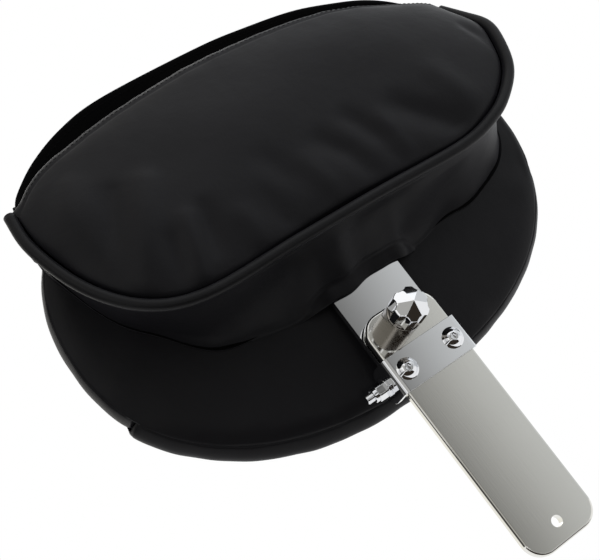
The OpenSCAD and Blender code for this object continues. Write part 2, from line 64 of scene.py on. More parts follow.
# Hardware
PIVOT = (0, 11, 118)
SCREW_X = 17.4
STRAP_FACE = -5.5
BOLT_R = 3.0
EAR_FACE = 28.0
WASHER_T = 1.6
NUT_SEAT = EAR_FACE + WASHER_T
ADJUSTER_X, ADJUSTER_Z = -4.5, 143.3
STUD_BORE = 4.05
BOSS_R, BOSS_LENGTH = 10.8, 18.0
KNOB_SEAT = -21.3
# Sharpest angle, in degrees, at which two faces still shade as one
CREASE = 28

# Seam that carries the welt, from the left corner of the mouth down and round to the right one
WELT_LINE = [
    (-160, 311, 16), (-162, 286, 23), (-153, 247, 35), (-133, 219, 43), (-102, 206, 47),
    (-42, 205, 48), (16, 204, 48), (77, 202, 48), (107, 208, 47), (125, 217, 44),
    (142, 231, 40), (153, 250, 34), (160.5, 267, 25), (162, 285, 9), (160, 301, -3),
]
# Upper edge of the front panel, from left to right
HEM_LINE = [
    (-160, 311, 16), (-151, 316, 14), (-137.5, 325, 13), (-122.5, 330.5, 12.5), (-101, 335, 12),
    (-79, 338.8, 11.5), (-49, 341.8, 11), (-14, 343.3, 11), (28, 341, 11), (65.5, 336, 11),
    (92, 329.5, 10), (125, 315.5, 8), (148, 308, 3), (160, 301, -3),
]
# Both seams on the pad have the same two sides
PAD_SEAM_LEFT = [
    (-150, 322, -4), (-153, 302, -16), (-151, 281, -22), (-136, 238, -24), (-119, 216, -24),
    (-103, 196, -22), (-86, 187, -20),
]
PAD_SEAM_RIGHT = [
    (94, 184, -21), (109, 188, -23), (131, 196, -25), (146, 210, -26), (154, 234, -27),
    (157, 262, -26), (158, 286, -18), (156, 304, -7),
]
# Front edge of the gusset at the pad, with the lip that lies over the support bar in its middle
LIP_LINE = PAD_SEAM_LEFT + [
    (-60, 180, -17), (-38, 177, -11), (-29, 176, -7), (-17, 175, -7), (-9, 175.8, -7),
    (6, 177.8, -7), (14, 178.2, -7), (22, 177.2, -7), (30, 175.5, -7), (38, 177, -11),
    (55, 179.5, -17.5), (74, 184, -19.5),
] + PAD_SEAM_RIGHT
# Seam of the back panel, on the pad, from the left of the mouth round to the right
BACK_LINE = PAD_SEAM_LEFT + [(-42, 183, -18), (0, 181, -18), (37, 180, -18), (74, 185, -20)] + PAD_SEAM_RIGHT
# Upper edge of the back panel, from left to right
RIM_LINE = [
    (-150, 322, -4), (-144, 330, -8), (-125, 344, -10), (-99, 355, -10), (-66, 361, -10),
    (5, 361, -10), (41, 358, -10), (75, 353, -10), (101, 345, -10), (123, 336, -10),
    (140, 324, -10), (156, 304, -7),
]
# Soft folds of the front panel: the places (across, up) along each, its half width and height
FOLDS = [
    ([(-93, 279), (-110, 254), (-129, 226)], 8, 2.3),
    ([(-127, 301), (-145, 274)], 10, 1.7),
    ([(-112, 285), (-131, 254)], 7, -1.9),
    ([(-101, 240), (-109, 220)], 6, -1.5),
    ([(-88, 248), (-102, 214)], 6, 1.8),
    ([(-77, 247), (-85, 222)], 6, -1.6),
    ([(-61, 233), (-60, 213)], 7, 1.3),
    ([(-43, 233), (-41, 208)], 7, -0.9),
    ([(59, 242), (79, 218), (87, 207)], 9, -2.4),
    ([(29, 251), (38, 229), (39, 214)], 7, -1.7),
    ([(5, 247), (14, 232), (19, 213)], 7, -1.5),
    ([(43, 239), (43, 213)], 7, 1.3),
    ([(-11, 241), (-6, 213)], 7, 1.0),
    ([(-30, 256), (-23, 234)], 8, -0.9),
    ([(94, 250), (102, 218)], 9, 1.3),
    ([(141, 272), (146, 250)], 4, -0.9),
]


def at(across, up, behind):
    return np.array([across, BLADE_REAR - behind, up], float)


def step(x, low, high):
    """Runs smoothly from 0 at low to 1 at high."""
    t = np.clip((np.asarray(x, float) - low) / (high - low), 0, 1)
    return t * t * (3 - 2 * t)


def smooth_line(points, count):
    """A smooth curve through the points, as evenly spaced places."""
    p = np.array([at(*q) for q in points])
    ends = np.vstack([2 * p[0] - p[1], p, 2 * p[-1] - p[-2]])
    out = []
    for a, b, c, d in zip(ends, ends[1:], ends[2:], ends[3:]):
        for t in np.linspace(0, 1, 40, endpoint=False):
            out.append(0.5 * (2 * b + (c - a) * t + (2 * a - 5 * b + 4 * c - d) * t * t
                              + (3 * b - a - 3 * c + d) * t ** 3))
    out.append(p[-1])
    return even(np.array(out), count)


def even(line, count):
    gap = np.linalg.norm(np.diff(line, axis=0), axis=1)
    along = np.concatenate([[0], np.cumsum(gap)])
    want = np.linspace(0, along[-1], count)
    return np.stack([np.interp(want, along, line[:, k]) for k in range(3)], 1)


def soften(line, rounds=6):
    """Evens out the curvature of an open line and keeps its ends."""
    line = line.copy()
    for _ in range(rounds):
        line[1:-1] = 0.5 * line[1:-1] + 0.25 * (line[:-2] + line[2:])
    return line


def unit(v):
    return v / np.maximum(np.linalg.norm(v, axis=-1, keepdims=True), 1e-9)


def tangents(line):
    return unit(np.gradient(line, axis=0))


def piece(name, points, faces):
    """A mesh piece in metres from points in millimetres."""
    mesh = bpy.data.meshes.new(name)
    mesh.from_pydata([tuple(p) for p in np.asarray(points) / 1000], [], faces)
    mesh.validate()
    mesh.polygons.foreach_set("use_smooth", [True] * len(mesh.polygons))
    mesh.update()
    obj = bpy.data.objects.new(name, mesh)
    bpy.context.scene.collection.objects.link(obj)
    return obj


def grid_faces(rows, cols, wrap_cols=False, start=0):
    faces = []
    for i in range(rows - 1):
        for j in range(cols if wrap_cols else cols - 1):
            a = start + i * cols + j
            b = start + i * cols + (j + 1) % cols
            c = start + (i + 1) * cols + (j + 1) % cols
            d = start + (i + 1) * cols + j
            faces.append((a, b, c, d))
    return faces


def face_away(obj, centre):
    """Turns an open sheet so that its faces look away from a place, in millimetres."""
    centre = Vector(centre) / 1000
    votes = sum((p.center - centre).dot(p.normal) * p.area for p in obj.data.polygons)
    if votes < 0:
        obj.data.flip_normals()
    return obj


def thicken(obj, mm):
    wall = obj.modifiers.new("wall", "SOLIDIFY")
    wall.thickness = mm / 1000
    wall.offset = -1.0
    wall.use_even_offset = False
    wall.material_offset = 1
    return obj


def tube(line, half_width, half_height, up, sides):
    """Rings round a line, flattened across it."""
    t = tangents(line)
    up = unit(up - (up * t).sum(1, keepdims=True) * t)
    side = np.cross(t, up)
    a = np.linspace(0, 2 * math.pi, sides, endpoint=False)
    return (line[:, None] + half_width * np.cos(a)[None, :, None] * side[:, None]
            + half_height * np.sin(a)[None, :, None] * up[:, None])


def closed_tube(name, rings):
    """A tube piece from its rings, with its two ends closed."""
    count, sides = rings.shape[:2]
    points = np.vstack([rings.reshape(-1, 3), rings[0].mean(0), rings[-1].mean(0)])
    faces = grid_faces(count, sides, wrap_cols=True)
    last = count * sides
    faces += [(last, (i + 1) % sides, i) for i in range(sides)]
    faces += [(last + 1, (count - 1) * sides + i, (count - 1) * sides + (i + 1) % sides)
              for i in range(sides)]
    return face_away_tube(piece(name, points, faces))


def face_away_tube(obj):
    """Turns the faces of a closed shape outwards if they point in."""
    total = 0.0
    where = obj.data.vertices
    for p in obj.data.polygons:
        a, b, c = (where[i].co for i in p.vertices[:3])
        total += a.cross(b).dot(c)
    if total < 0:
        obj.data.flip_normals()
    return obj


def ripple(x, z, size, seed):
    """Gentle unevenness of a sewn surface, between about -1 and 1."""
    rng = np.random.default_rng(seed)
    total = np.zeros(np.broadcast(x, z).shape)
    for _ in range(9):
        turn, phase = rng.uniform(0, 2 * math.pi, 2)
        wave = size * rng.uniform(0.7, 1.6)
        total = total + np.sin(2 * math.pi * (x * math.cos(turn) + z * math.sin(turn)) / wave + phase)
    return total / 3.5


# Materials
class Value:
    """A socket of a node, so that shader sums read as plain arithmetic."""

    def __init__(self, maker, socket):
        self.maker, self.socket = maker, socket

    def _sum(self, kind, a, b):
        return self.maker.node("ShaderNodeMath", {"operation": kind}, {0: a, 1: b})

    def __add__(self, other):
        return self._sum("ADD", self, other)

    def __radd__(self, other):
        return self._sum("ADD", other, self)

    def __sub__(self, other):
        return self._sum("SUBTRACT", self, other)

    def __rsub__(self, other):
        return self._sum("SUBTRACT", other, self)

    def __mul__(self, other):
        return self._sum("MULTIPLY", self, other)

    def __rmul__(self, other):
        return self._sum("MULTIPLY", other, self)


class Shader:
    """A node tree. node() adds a node, sets it up, and gives back one of its outputs."""

    def __init__(self, tree):
        self.tree = tree
        self.tree.nodes.clear()

    def node(self, kind, settings=None, sockets=None, out=0):
        made = self.tree.nodes.new(kind)
        for key, value in (settings or {}).items():
            setattr(made, key, value)
        for key, value in (sockets or {}).items():
            if isinstance(value, Value):
                self.tree.links.new(value.socket, made.inputs[key])
            else:
                made.inputs[key].default_value = value
        return Value(self, made.outputs[out])

    def place(self):
        return self.node("ShaderNodeTexCoord", out="Object")

    def parts(self, vector):
        """The three parts of a vector."""
        return [self.node("ShaderNodeSeparateXYZ", None, {0: vector}, out=k) for k in range(3)]

    def noise(self, scale, detail=2.0, rough=0.5, stretch=(1, 1, 1)):
        where = self.place()
        if stretch != (1, 1, 1):
            where = self.node("ShaderNodeMapping", None, {"Vector": where, "Scale": stretch})
        return self.node("ShaderNodeTexNoise", None, {
            "Vector": where, "Scale": scale, "Detail": detail, "Roughness": rough}, out="Fac")

    def cells(self, scale):
        """Distance to the nearest border between cells."""
        return self.node("ShaderNodeTexVoronoi", {"feature": "DISTANCE_TO_EDGE"}, {
            "Vector": self.place(), "Scale": scale}, out="Distance")

    def step(self, value, low, high):
        """Runs smoothly from 0 at low to 1 at high."""
        return self.node("ShaderNodeMapRange", {"interpolation_type": "SMOOTHSTEP"}, {
            "Value": value, "From Min": low, "From Max": high})

    def wave(self, value):
        return self.node("ShaderNodeMath", {"operation": "SINE"}, {0: value})

    def mix(self, factor, a, b):
        return self.node("ShaderNodeMix", {"data_type": "RGBA"}, {0: factor, 6: a, 7: b}, out=2)

    def bump(self, height, strength, distance, over=None):
        sockets = {"Height": height, "Strength": strength, "Distance": distance}
        if over:
            sockets["Normal"] = over
        return self.node("ShaderNodeBump", None, sockets)

    def output(self, shader, kind="ShaderNodeOutputMaterial"):
        end = self.tree.nodes.new(kind)
        self.tree.links.new(shader.socket, end.inputs["Surface"])


class Finish(Shader):
    """One material with a Principled surface."""

    def __init__(self, name):
        self.material = bpy.data.materials.new(name)
        self.material.use_nodes = True
        super().__init__(self.material.node_tree)

    def surface(self, **sockets):
        names = {k.replace("_", " "): v for k, v in sockets.items()}
        self.output(self.node("ShaderNodeBsdfPrincipled", None, names))
        return self.material


def colour(r, g, b):
    return (r, g, b, 1.0)


def tinted(base, share):
    return colour(*[share * c for c in base])


def vinyl(name, base, rough, gloss=0.2, grain=1.0):
    """Black leathercloth: fine pebbles, pores between them, and a faint uneven shine."""
    f = Finish(name)
    cloud = f.noise(16.0, 3.0, 0.6)
    tone = f.mix(cloud, tinted(base, 0.7), tinted(base, 1.35))
    pebble = f.cells(900.0)
    fine = f.noise(2400.0, 2.0, 0.6)
    wander = f.noise(55.0, 2.0, 0.5)
    dull = rough + (wander - 0.5) * 0.12 + (fine - 0.5) * 0.08
    soft = f.bump(f.noise(90.0, 3.0, 0.55), 0.25, 0.0012)
    return f.surface(
        Base_Color=tone, Roughness=dull,
        Normal=f.bump(pebble * 0.8 + fine * 0.3, 0.22 * grain, 0.0002, over=soft),
        Specular_IOR_Level=gloss, Sheen_Weight=0.03, Sheen_Roughness=0.45,
        Sheen_Tint=colour(0.8, 0.78, 1.0))


def metal(name, base, rough, smear=0.03, scratch=0.0, stretch=(1, 1, 1), fine=900.0):
    """Plated or polished steel, with a film of handling and, where it is polished, fine lines."""
    f = Finish(name)
    film = f.noise(30.0, 3.0, 0.6)
    tone = f.mix(f.noise(11.0, 2.0, 0.5), tinted(base, 0.95), tinted(base, 1.03))
    sockets = {"Base_Color": tone, "Metallic": 1.0, "Roughness": rough + (film - 0.5) * smear}
    if scratch:
        lines = f.noise(fine, 3.0, 0.7, stretch)
        sockets["Normal"] = f.bump(lines, scratch, 0.00004)
    return f.surface(**sockets)


def threaded(name, base, axis, low, high, pitch):
    """Plated steel with a screw thread between two places along an axis, in metres, the roots of the thread
    darkened as painted shade.
    """
    f = Finish(name)
    along = f.parts(f.place())[axis]
    inside = f.step(along, low - 0.0003, low) * (1.0 - f.step(along, high, high + 0.0003))
    ridge = f.wave(along * (2 * math.pi / pitch)) * inside
    # Painted shade: the roots of the bump-only thread are darkened as if shade fell into them
    painted_root_shade = f.step(ridge, -0.2, -0.9) * 0.6
    tone = f.mix(painted_root_shade, colour(*base), tinted(base, 0.25))
    return f.surface(Base_Color=tone, Metallic=1.0, Roughness=0.12 + f.noise(60.0) * 0.1,
                     Normal=f.bump(ridge, 1.0, 0.0003))


def plain(name, base, rough):
    f = Finish(name)
    speck = f.noise(400.0, 2.0, 0.5)
    tone = f.mix(speck, tinted(base, 0.8), tinted(base, 1.2))
    return f.surface(Base_Color=tone, Roughness=rough + (speck - 0.5) * 0.1,
                     Normal=f.bump(speck, 0.2, 0.0004))


BLACK_VINYL = vinyl("black grained vinyl", (0.0092, 0.0091, 0.0106), 0.44, 0.12)
WELT_VINYL = vinyl("black vinyl on the welt", (0.0088, 0.0088, 0.0098), 0.42, 0.13)
INNER_CLOTH = vinyl("black lining", (0.0014, 0.0014, 0.0014), 0.85, 0.03)
THREAD = vinyl("black thread", (0.004, 0.004, 0.004), 0.85, 0.02)
CHROME_TINT = (0.80, 0.81, 0.83)
POLISHED = metal("polished steel", (0.78, 0.772, 0.735), 0.085, 0.05, 0.10, (1, 1, 0.03), 1400.0)
CHROME = metal("bright chrome", CHROME_TINT, 0.03, 0.02)
# Painted reflection: the boss's chrome gets a dark, dull base colour that stands in for the dark things it
# mirrors
BOSS_CHROME_PAINTED_DARK = metal("chrome on the boss painted dark", (0.27, 0.25, 0.225), 0.20, 0.05)
ZINC = metal("zinc plated steel", (0.62, 0.63, 0.65), 0.28, 0.10)
PAN_PLASTIC = plain("moulded black plastic", (0.03, 0.03, 0.03), 0.6)
FOAM = plain("cushion foam", (0.55, 0.5, 0.36), 0.9)
stud_low, stud_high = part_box("adjuster_stud")
STUD = threaded("zinc stud with a thread", (0.62, 0.63, 0.65), 1, stud_low[1], stud_high[1], 0.00125)


def dress(obj, material, lining=None):
    obj.data.materials.clear()
    obj.data.materials.append(material)
    if lining:
        obj.data.materials.append(lining)


METAL_FINISH = {
    "blade": POLISHED, "clevis_bracket": CHROME, "clevis_screw_left": CHROME,
    "clevis_screw_right": CHROME, "adjuster_boss": CHROME, "adjuster_stud": STUD,
    "adjuster_knob": CHROME, "pivot_bolt": CHROME, "pivot_washer_left": CHROME,
    "pivot_washer_right": CHROME, "pivot_nut": CHROME, "hinge_barrel": CHROME,
    "support_bar": CHROME, "base_pan": PAN_PLASTIC, "foam_cushion": FOAM,
}
for number in range(1, 5):
    METAL_FINISH[f"fixing_screw_{number}"] = ZINC
    METAL_FINISH[f"tee_nut_{number}"] = ZINC
for node, finish in METAL_FINISH.items():
    dress(frame["nodes"][node], finish)

BODY_OF = {node: body for body, nodes in frame["record"]["behaviour"]["bodies"].items() for node in nodes}


def carry(obj, node):
    """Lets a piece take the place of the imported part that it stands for."""
    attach(obj, BODY_OF[node])
    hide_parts(node)
    return obj


def shade(mesh, merge=False):
    """Smooth shading with crisp edges wherever two faces meet sharply."""
    made = bmesh.new()
    made.from_mesh(mesh)
    if merge:
        bmesh.ops.remove_doubles(made, verts=made.verts, dist=0.000002)
        bmesh.ops.dissolve_limit(made, angle_limit=math.radians(0.4), verts=made.verts,
                                 edges=made.edges)
    for edge in made.edges:
        edge.smooth = len(edge.link_faces) == 2 and edge.calc_face_angle(math.pi) < math.radians(CREASE)
    for face in made.faces:
        face.smooth = True
    made.to_mesh(mesh)
    made.free()
    if "custom_normal" in mesh.attributes:
        mesh.attributes.remove(mesh.attributes["custom_normal"])


def break_edges(obj, ease):
    """Breaks the sharp edges of a metal part."""
    edges = obj.modifiers.new("broken edges", "BEVEL")
    edges.width, edges.segments = ease / 1000, 2
    edges.limit_method, edges.angle_limit = "ANGLE", math.radians(CREASE)


def keep_flat(obj):
    """Makes flat faces shade flat, however their edges are rounded."""
    flat = obj.modifiers.new("flat faces", "WEIGHTED_NORMAL")
    flat.weight, flat.keep_sharp = 90, True


def eased_copy(node, ease):
    """A copy of a flat metal part with its triangles joined and, with an ease, broken edges."""
    mesh = frame["nodes"][node].data.copy()
    mesh.name = node + "_eased"
    shade(mesh, merge=True)
    obj = bpy.data.objects.new(node + "_eased", mesh)
    bpy.context.scene.collection.objects.link(obj)
    if ease:
        break_edges(obj, ease)
    keep_flat(obj)
    return carry(obj, node)


for node, ease in (("blade", 0), ("clevis_bracket", 0.2), ("support_bar", 0.25)):
    eased_copy(node, ease)

# Turned pieces: rings of (radius, height) round an axis, in millimetres
REARWARD = ((1, 0, 0), (0, 0, 1), (0, -1, 0))
LEFTWARD = ((0, 0, 1), (0, 1, 0), (-1, 0, 0))
SIDES = 192
ROUND = np.linspace(0, 2 * math.pi, SIDES, endpoint=False)


def six_sided(flats, turn=30):
    """Radius all round a hexagon of a width across its flats, one flat's middle at a turn."""
    off = (np.degrees(ROUND) - turn + 30) % 60 - 30
    return flats / 2 / np.cos(np.radians(off))


def turned(name, node, centre, axes, rings, material, bored=False):
    """A piece of turned or milled metal; without a bore it is closed at both ends."""
    u, v, w = (np.array(k, float) for k in axes)
    centre = np.array(centre, float)
    rows = [centre + np.outer(r * np.cos(ROUND), u) + np.outer(r * np.sin(ROUND), v)
            + np.outer(np.broadcast_to(h, SIDES), w) for r, h in rings]
    points = np.vstack(rows)
    faces = grid_faces(len(rows), SIDES, wrap_cols=True)
    last = (len(rows) - 1) * SIDES
    if bored:
        faces += [(last + i, last + (i + 1) % SIDES, (i + 1) % SIDES, i) for i in range(SIDES)]
    else:
        points = np.vstack([points, rows[0].mean(0), rows[-1].mean(0)])
        top = len(points) - 1
        faces += [(top - 1, (i + 1) % SIDES, i) for i in range(SIDES)]
        faces += [(top, last + i, last + (i + 1) % SIDES) for i in range(SIDES)]
    obj = face_away_tube(piece(name, points, faces))
    shade(obj.data)
    keep_flat(obj)
    dress(obj, material)
    return carry(obj, node)


def button_head(wide, tall, flats, deep, flange=0.0):
    """Rings of a domed head with a hexagon socket, from its foot to the bottom of the socket."""
    foot, rim = wide / 2, wide / 4
    crown = 1.15 * (foot ** 2 + tall ** 2) / (2 * tall)
    sunk = tall - math.sqrt(crown ** 2 - rim ** 2)
    rings = [(foot, 0.0)]
    if flange:
        rings = [(flange / 2, 0.0), (flange / 2, 0.25), (foot + 0.12, 1.1)]
    rings += [(r, sunk + math.sqrt(crown ** 2 - r ** 2)) for r in np.linspace(foot, rim, 12)]
    socket, top = six_sided(flats), tall + 0.02
    rings += [(rim - 0.1, top), (socket + 0.12, top), (socket, tall - 0.15), (socket, tall - deep)]
    rings.append((socket * 0.4, tall - deep - 0.1))
    return rings


for side, x in (("left", -SCREW_X), ("right", SCREW_X)):
    shank = [(BOLT_R - 0.4, -8.4), (BOLT_R, -8.0), (BOLT_R, 0.0)]
    turned(f"clevis_screw_{side}_turned", f"clevis_screw_{side}", (x, STRAP_FACE, PIVOT[2]), REARWARD,
           shank + button_head(10.8, 3.3, 4.0, 1.98, 13.6), CHROME)

boss = [(STUD_BORE, 0), (BOSS_R, 0), (BOSS_R, 0.4), (BOSS_R, BOSS_LENGTH - 0.8)]
boss += [(BOSS_R - 0.2, BOSS_LENGTH - 0.4), (BOSS_R - 0.8, BOSS_LENGTH), (STUD_BORE, BOSS_LENGTH)]
turned("adjuster_boss_turned", "adjuster_boss", (ADJUSTER_X, BLADE_REAR, ADJUSTER_Z), REARWARD, boss,
       BOSS_CHROME_PAINTED_DARK, bored=True)

# Knob: six flutes down its side, and a pointed top whose six ridges run to the flutes
KNOB_R, KNOB_ROOT, KNOB_SIDE, KNOB_POINT = 10.9, 9.2, 13.6, 5.8
FLUTE_R = KNOB_R * 0.56
FLUTE_AXIS = KNOB_ROOT + FLUTE_R
from_flute = np.radians(np.degrees(ROUND) % 60 - 30)
reach = FLUTE_AXIS * np.sin(from_flute)
under = np.maximum(FLUTE_R ** 2 - reach ** 2, 0)
in_flute = np.minimum(KNOB_R, FLUTE_AXIS * np.cos(from_flute) - np.sqrt(under))
knob_outline = np.where(np.abs(reach) < FLUTE_R, in_flute, KNOB_R)
facet = np.cos(np.radians((np.degrees(ROUND) + 30) % 60 - 30))


def knob_top(r):
    """Height of the pointed top at a distance from the knob's axis."""
    return KNOB_SIDE + KNOB_POINT - r * facet * KNOB_POINT / KNOB_R


shoulder = knob_outline - 0.12
inside_edge = knob_outline - 0.35
knob = [(STUD_BORE, 9.0), (STUD_BORE, 0.0), (knob_outline - 0.7, 0.0), (knob_outline, 0.7)]
knob += [(knob_outline, 0.7 + t * (knob_top(knob_outline) - 1.05)) for t in (0.3, 0.6, 0.9, 1.0)]
knob += [(shoulder, knob_top(knob_outline) - 0.12), (inside_edge, knob_top(inside_edge))]
knob += [(inside_edge * t, knob_top(inside_edge * t)) for t in (0.85, 0.7, 0.55, 0.4, 0.25, 0.12, 0.04)]
turned("adjuster_knob_turned", "adjuster_knob", (ADJUSTER_X, KNOB_SEAT, ADJUSTER_Z), REARWARD, knob, CHROME)

# Pivot bolt with its thread, washers and lock nut
TIP, THREAD_ROOT, THREAD_CREST, TURN = 43.3, 2.62, 2.98, 0.45
bolt = [(2.3, TIP), (THREAD_ROOT, TIP - 0.4)]
bolt += [(THREAD_CREST if k % 2 else THREAD_ROOT, TIP - 0.4 - TURN * k) for k in range(1, 11)]
bolt += [(BOLT_R, 38.0), (BOLT_R, -NUT_SEAT)]
bolt += [(r, -NUT_SEAT - h) for r, h in button_head(10.5, 3.3, 4.0, 1.98)]
turned("pivot_bolt_turned", "pivot_bolt", PIVOT, LEFTWARD, bolt, CHROME)
for side, start in (("left", EAR_FACE), ("right", -NUT_SEAT)):
    washer = [(3.2, 0), (5.8, 0), (6.0, 0.2), (6.0, WASHER_T - 0.2), (5.8, WASHER_T), (3.2, WASHER_T)]
    turned(f"pivot_washer_{side}_turned", f"pivot_washer_{side}", PIVOT, LEFTWARD,
           [(r, start + h) for r, h in washer], CHROME, bored=True)
hexagon = six_sided(10.0)
NUT_TOP = NUT_SEAT + 6.5
nut = [(3.05, NUT_SEAT), (np.minimum(hexagon, 5.2), NUT_SEAT), (np.minimum(hexagon, 5.5), NUT_SEAT + 0.3)]
nut += [(np.minimum(hexagon, 5.5), NUT_TOP - 0.5), (np.minimum(hexagon, 5.1), NUT_TOP)]
nut += [(4.6, NUT_TOP), (4.6, NUT_TOP + 2.1), (4.3, NUT_TOP + 2.5), (3.3, NUT_TOP + 2.5)]
nut.append((3.05, NUT_TOP + 2.3))
turned("pivot_nut_turned", "pivot_nut", PIVOT, LEFTWARD, nut, CHROME, bored=True)


# Padded rest
def half_width(x):
    return np.where(x < 0, 168.5, 163.9)


def pad_reach(a):
    """Outline of the pad: distance from its centre at angle a, in millimetres."""
    half = 166.2 - 2.3 * np.cos(a)
    return 1 / ((np.abs(np.cos(a)) / half) ** PAD_POWER
                + (np.abs(np.sin(a)) / PAD_HALF_HEIGHT) ** PAD_POWER) ** (1 / PAD_POWER)


def pad_ring(share, inset, depth, count):
    a = np.linspace(0, 2 * math.pi, count, endpoint=False)
    r = share * (pad_reach(a) - inset)
    d = np.broadcast_to(depth, a.shape)
    return np.stack([r * np.cos(a), d, PAD_UP + r * np.sin(a)], 1)


def pad_rear_depth(x, z):
    """Depth of the pad's rear surface at a place."""
    reach = (np.abs(x) / half_width(x)) ** PAD_POWER + (np.abs(z - PAD_UP) / PAD_HALF_HEIGHT) ** PAD_POWER
    return PAD_REAR + REAR_CROWN * np.minimum(1, reach ** (2 / PAD_POWER))


# How far the lower band swells past the pad's outline, by angle in degrees from the right
BELLY_AT = [-163.5, -150, -140, -120, -105, -80, -60, -45, -28, -16.5]
BELLY = [4.0, 4.0, 5.0, 6.3, 5.8, 4.0, 2.6, 2.9, 3.2, 1.4]


def belly(a):
    """Swell of the lower band at an angle, in millimetres."""
    turn = (np.degrees(a) + 180) % 360 - 180
    return np.where((turn > -163.6) & (turn < -16.4), np.interp(turn, BELLY_AT, BELLY), 0)


AROUND = 240
REAR_SEAM = PAD_REAR + REAR_CROWN
FRONT_SEAM = REAR_SEAM + BAND_WIDTH


def disc(rings, centre):
    """Rings from the middle outwards, closed at the middle by a fan of faces."""
    points = np.vstack([np.asarray(centre)[None], *rings])
    n = len(rings[0])
    faces = [(0, 1 + (i + 1) % n, 1 + i) for i in range(n)]
    faces += grid_faces(len(rings), n, wrap_cols=True, start=1)
    return points, faces


def cushion_under_the_cover():
    """The pad blown up by a cloth simulation, pinned along its two seams.

    Gives back the places of the pad's skin before, and how far each of them moved."""
    around, shares = 96, (0.2, 0.4, 0.6, 0.8, 0.92, 1)
    rings = [pad_ring(s, 0, REAR_SEAM - REAR_CROWN * (1 - s * s), around) for s in shares]
    rings += [pad_ring(1, 0, REAR_SEAM + BAND_WIDTH * t, around) for t in (0.25, 0.5, 0.75)]
    rings += [pad_ring(s, 0, FRONT_SEAM + FRONT_CROWN * (1 - s * s), around) for s in shares[::-1]]
    points, faces = disc(rings, (0, PAD_REAR, PAD_UP))
    points = np.vstack([points, (0, FRONT_SEAM + FRONT_CROWN, PAD_UP)])
    top = len(points) - 1
    first = top - around
    faces += [(top, first + i, first + (i + 1) % around) for i in range(around)]
    body = piece("blown_up_pad", points, faces)
    face_away_tube(body)
    remesh = body.modifiers.new("even", "REMESH")
    remesh.mode, remesh.voxel_size = "VOXEL", 0.0055
    deps = bpy.context.evaluated_depsgraph_get()
    skin = bpy.data.objects.new("skin", bpy.data.meshes.new_from_object(body.evaluated_get(deps)))
    bpy.context.scene.collection.objects.link(skin)
    before = np.array([v.co[:] for v in skin.data.vertices]) * 1000
    reach = np.hypot(before[:, 0], before[:, 2] - PAD_UP) / pad_reach(
        np.arctan2(before[:, 2] - PAD_UP, before[:, 0]))
    near_seam = np.minimum(np.abs(before[:, 1] - REAR_SEAM), np.abs(before[:, 1] - FRONT_SEAM)) < 3.4
    pins = skin.vertex_groups.new(name="seams")
    pins.add([int(i) for i in np.nonzero(near_seam & (reach > 0.965))[0]], 1.0, "REPLACE")
    cloth = skin.modifiers.new("cloth", "CLOTH")
    cloth.settings.vertex_group_mass = "seams"
    cloth.settings.use_pressure = True
    cloth.settings.uniform_pressure_force = 4.0
    cloth.settings.effector_weights.gravity = 0.0
    cloth.settings.quality = 5
    scene = bpy.context.scene
    for number in range(1, 21):
        scene.frame_set(number)
        deps = bpy.context.evaluated_depsgraph_get()
        skin.evaluated_get(deps)
    after = np.array([v.co[:] for v in skin.evaluated_get(deps).data.vertices]) * 1000
    scene.frame_set(1)
    for obj in (skin, body):
        bpy.data.objects.remove(obj)
    return before, after - before


def swell(points, most, share):
    """Moves the points of a cover with the blown up cushion, by no more than a cap."""
    if cushion is None:
        return points
    where, moved = cushion
    tree = kdtree.KDTree(len(where))
    for i, p in enumerate(where):
        tree.insert(p, i)
    tree.balance()
    out = points.copy()
    for i, p in enumerate(points):
        near = tree.find_n(p, 6)
        weights = np.array([1 / (d + 1.0) ** 2 for _, _, d in near])
        shift = share * (weights[:, None] * moved[[k for _, k, _ in near]]).sum(0) / weights.sum()
        size = np.linalg.norm(shift)
        out[i] = p + shift * (most * math.tanh(size / most) / max(size, 1e-6))
    return out


cushion = cushion_under_the_cover()
if cushion:
    print("cushion moved by", round(float(np.linalg.norm(cushion[1], axis=1).max()), 2), "mm at most")


def trimmed_foam():
    """The foam cushion, cut a little narrower on its right as the sewn cover is."""
    mesh = frame["nodes"]["foam_cushion"].data.copy()
    mesh.name = "foam_cushion_trimmed"
    for v in mesh.vertices:
        v.co.x *= 0.970 if v.co.x > 0 else 0.997
        v.co.z += 0.008 * (PAD_UP / 1000 - v.co.z)
    shade(mesh, merge=True)
    obj = bpy.data.objects.new("foam_cushion_trimmed", mesh)
    bpy.context.scene.collection.objects.link(obj)
    return carry(obj, "foam_cushion")


foam = trimmed_foam()
bpy.context.view_layer.update()
INSIDE_PAD = [BVHTree.FromObject(obj, bpy.context.evaluated_depsgraph_get())
              for obj in (foam, frame["nodes"]["base_pan"])]


def over_the_foam(points, away, gap=1.6):
    """Lifts the places of a cover that would sink into the foam or the pan under it."""
    out = points.copy()
    for i, (p, outwards) in enumerate(zip(points, np.broadcast_to(away, points.shape))):
        start = Vector(p + 60 * outwards) / 1000
        hits = [tree.ray_cast(start, Vector(-outwards), 0.12)[0] for tree in INSIDE_PAD]
        short = [gap - float((p - np.array(hit) * 1000) @ outwards) for hit in hits if hit is not None]
        out[i] = p + max(short + [0.0]) * outwards
    return out


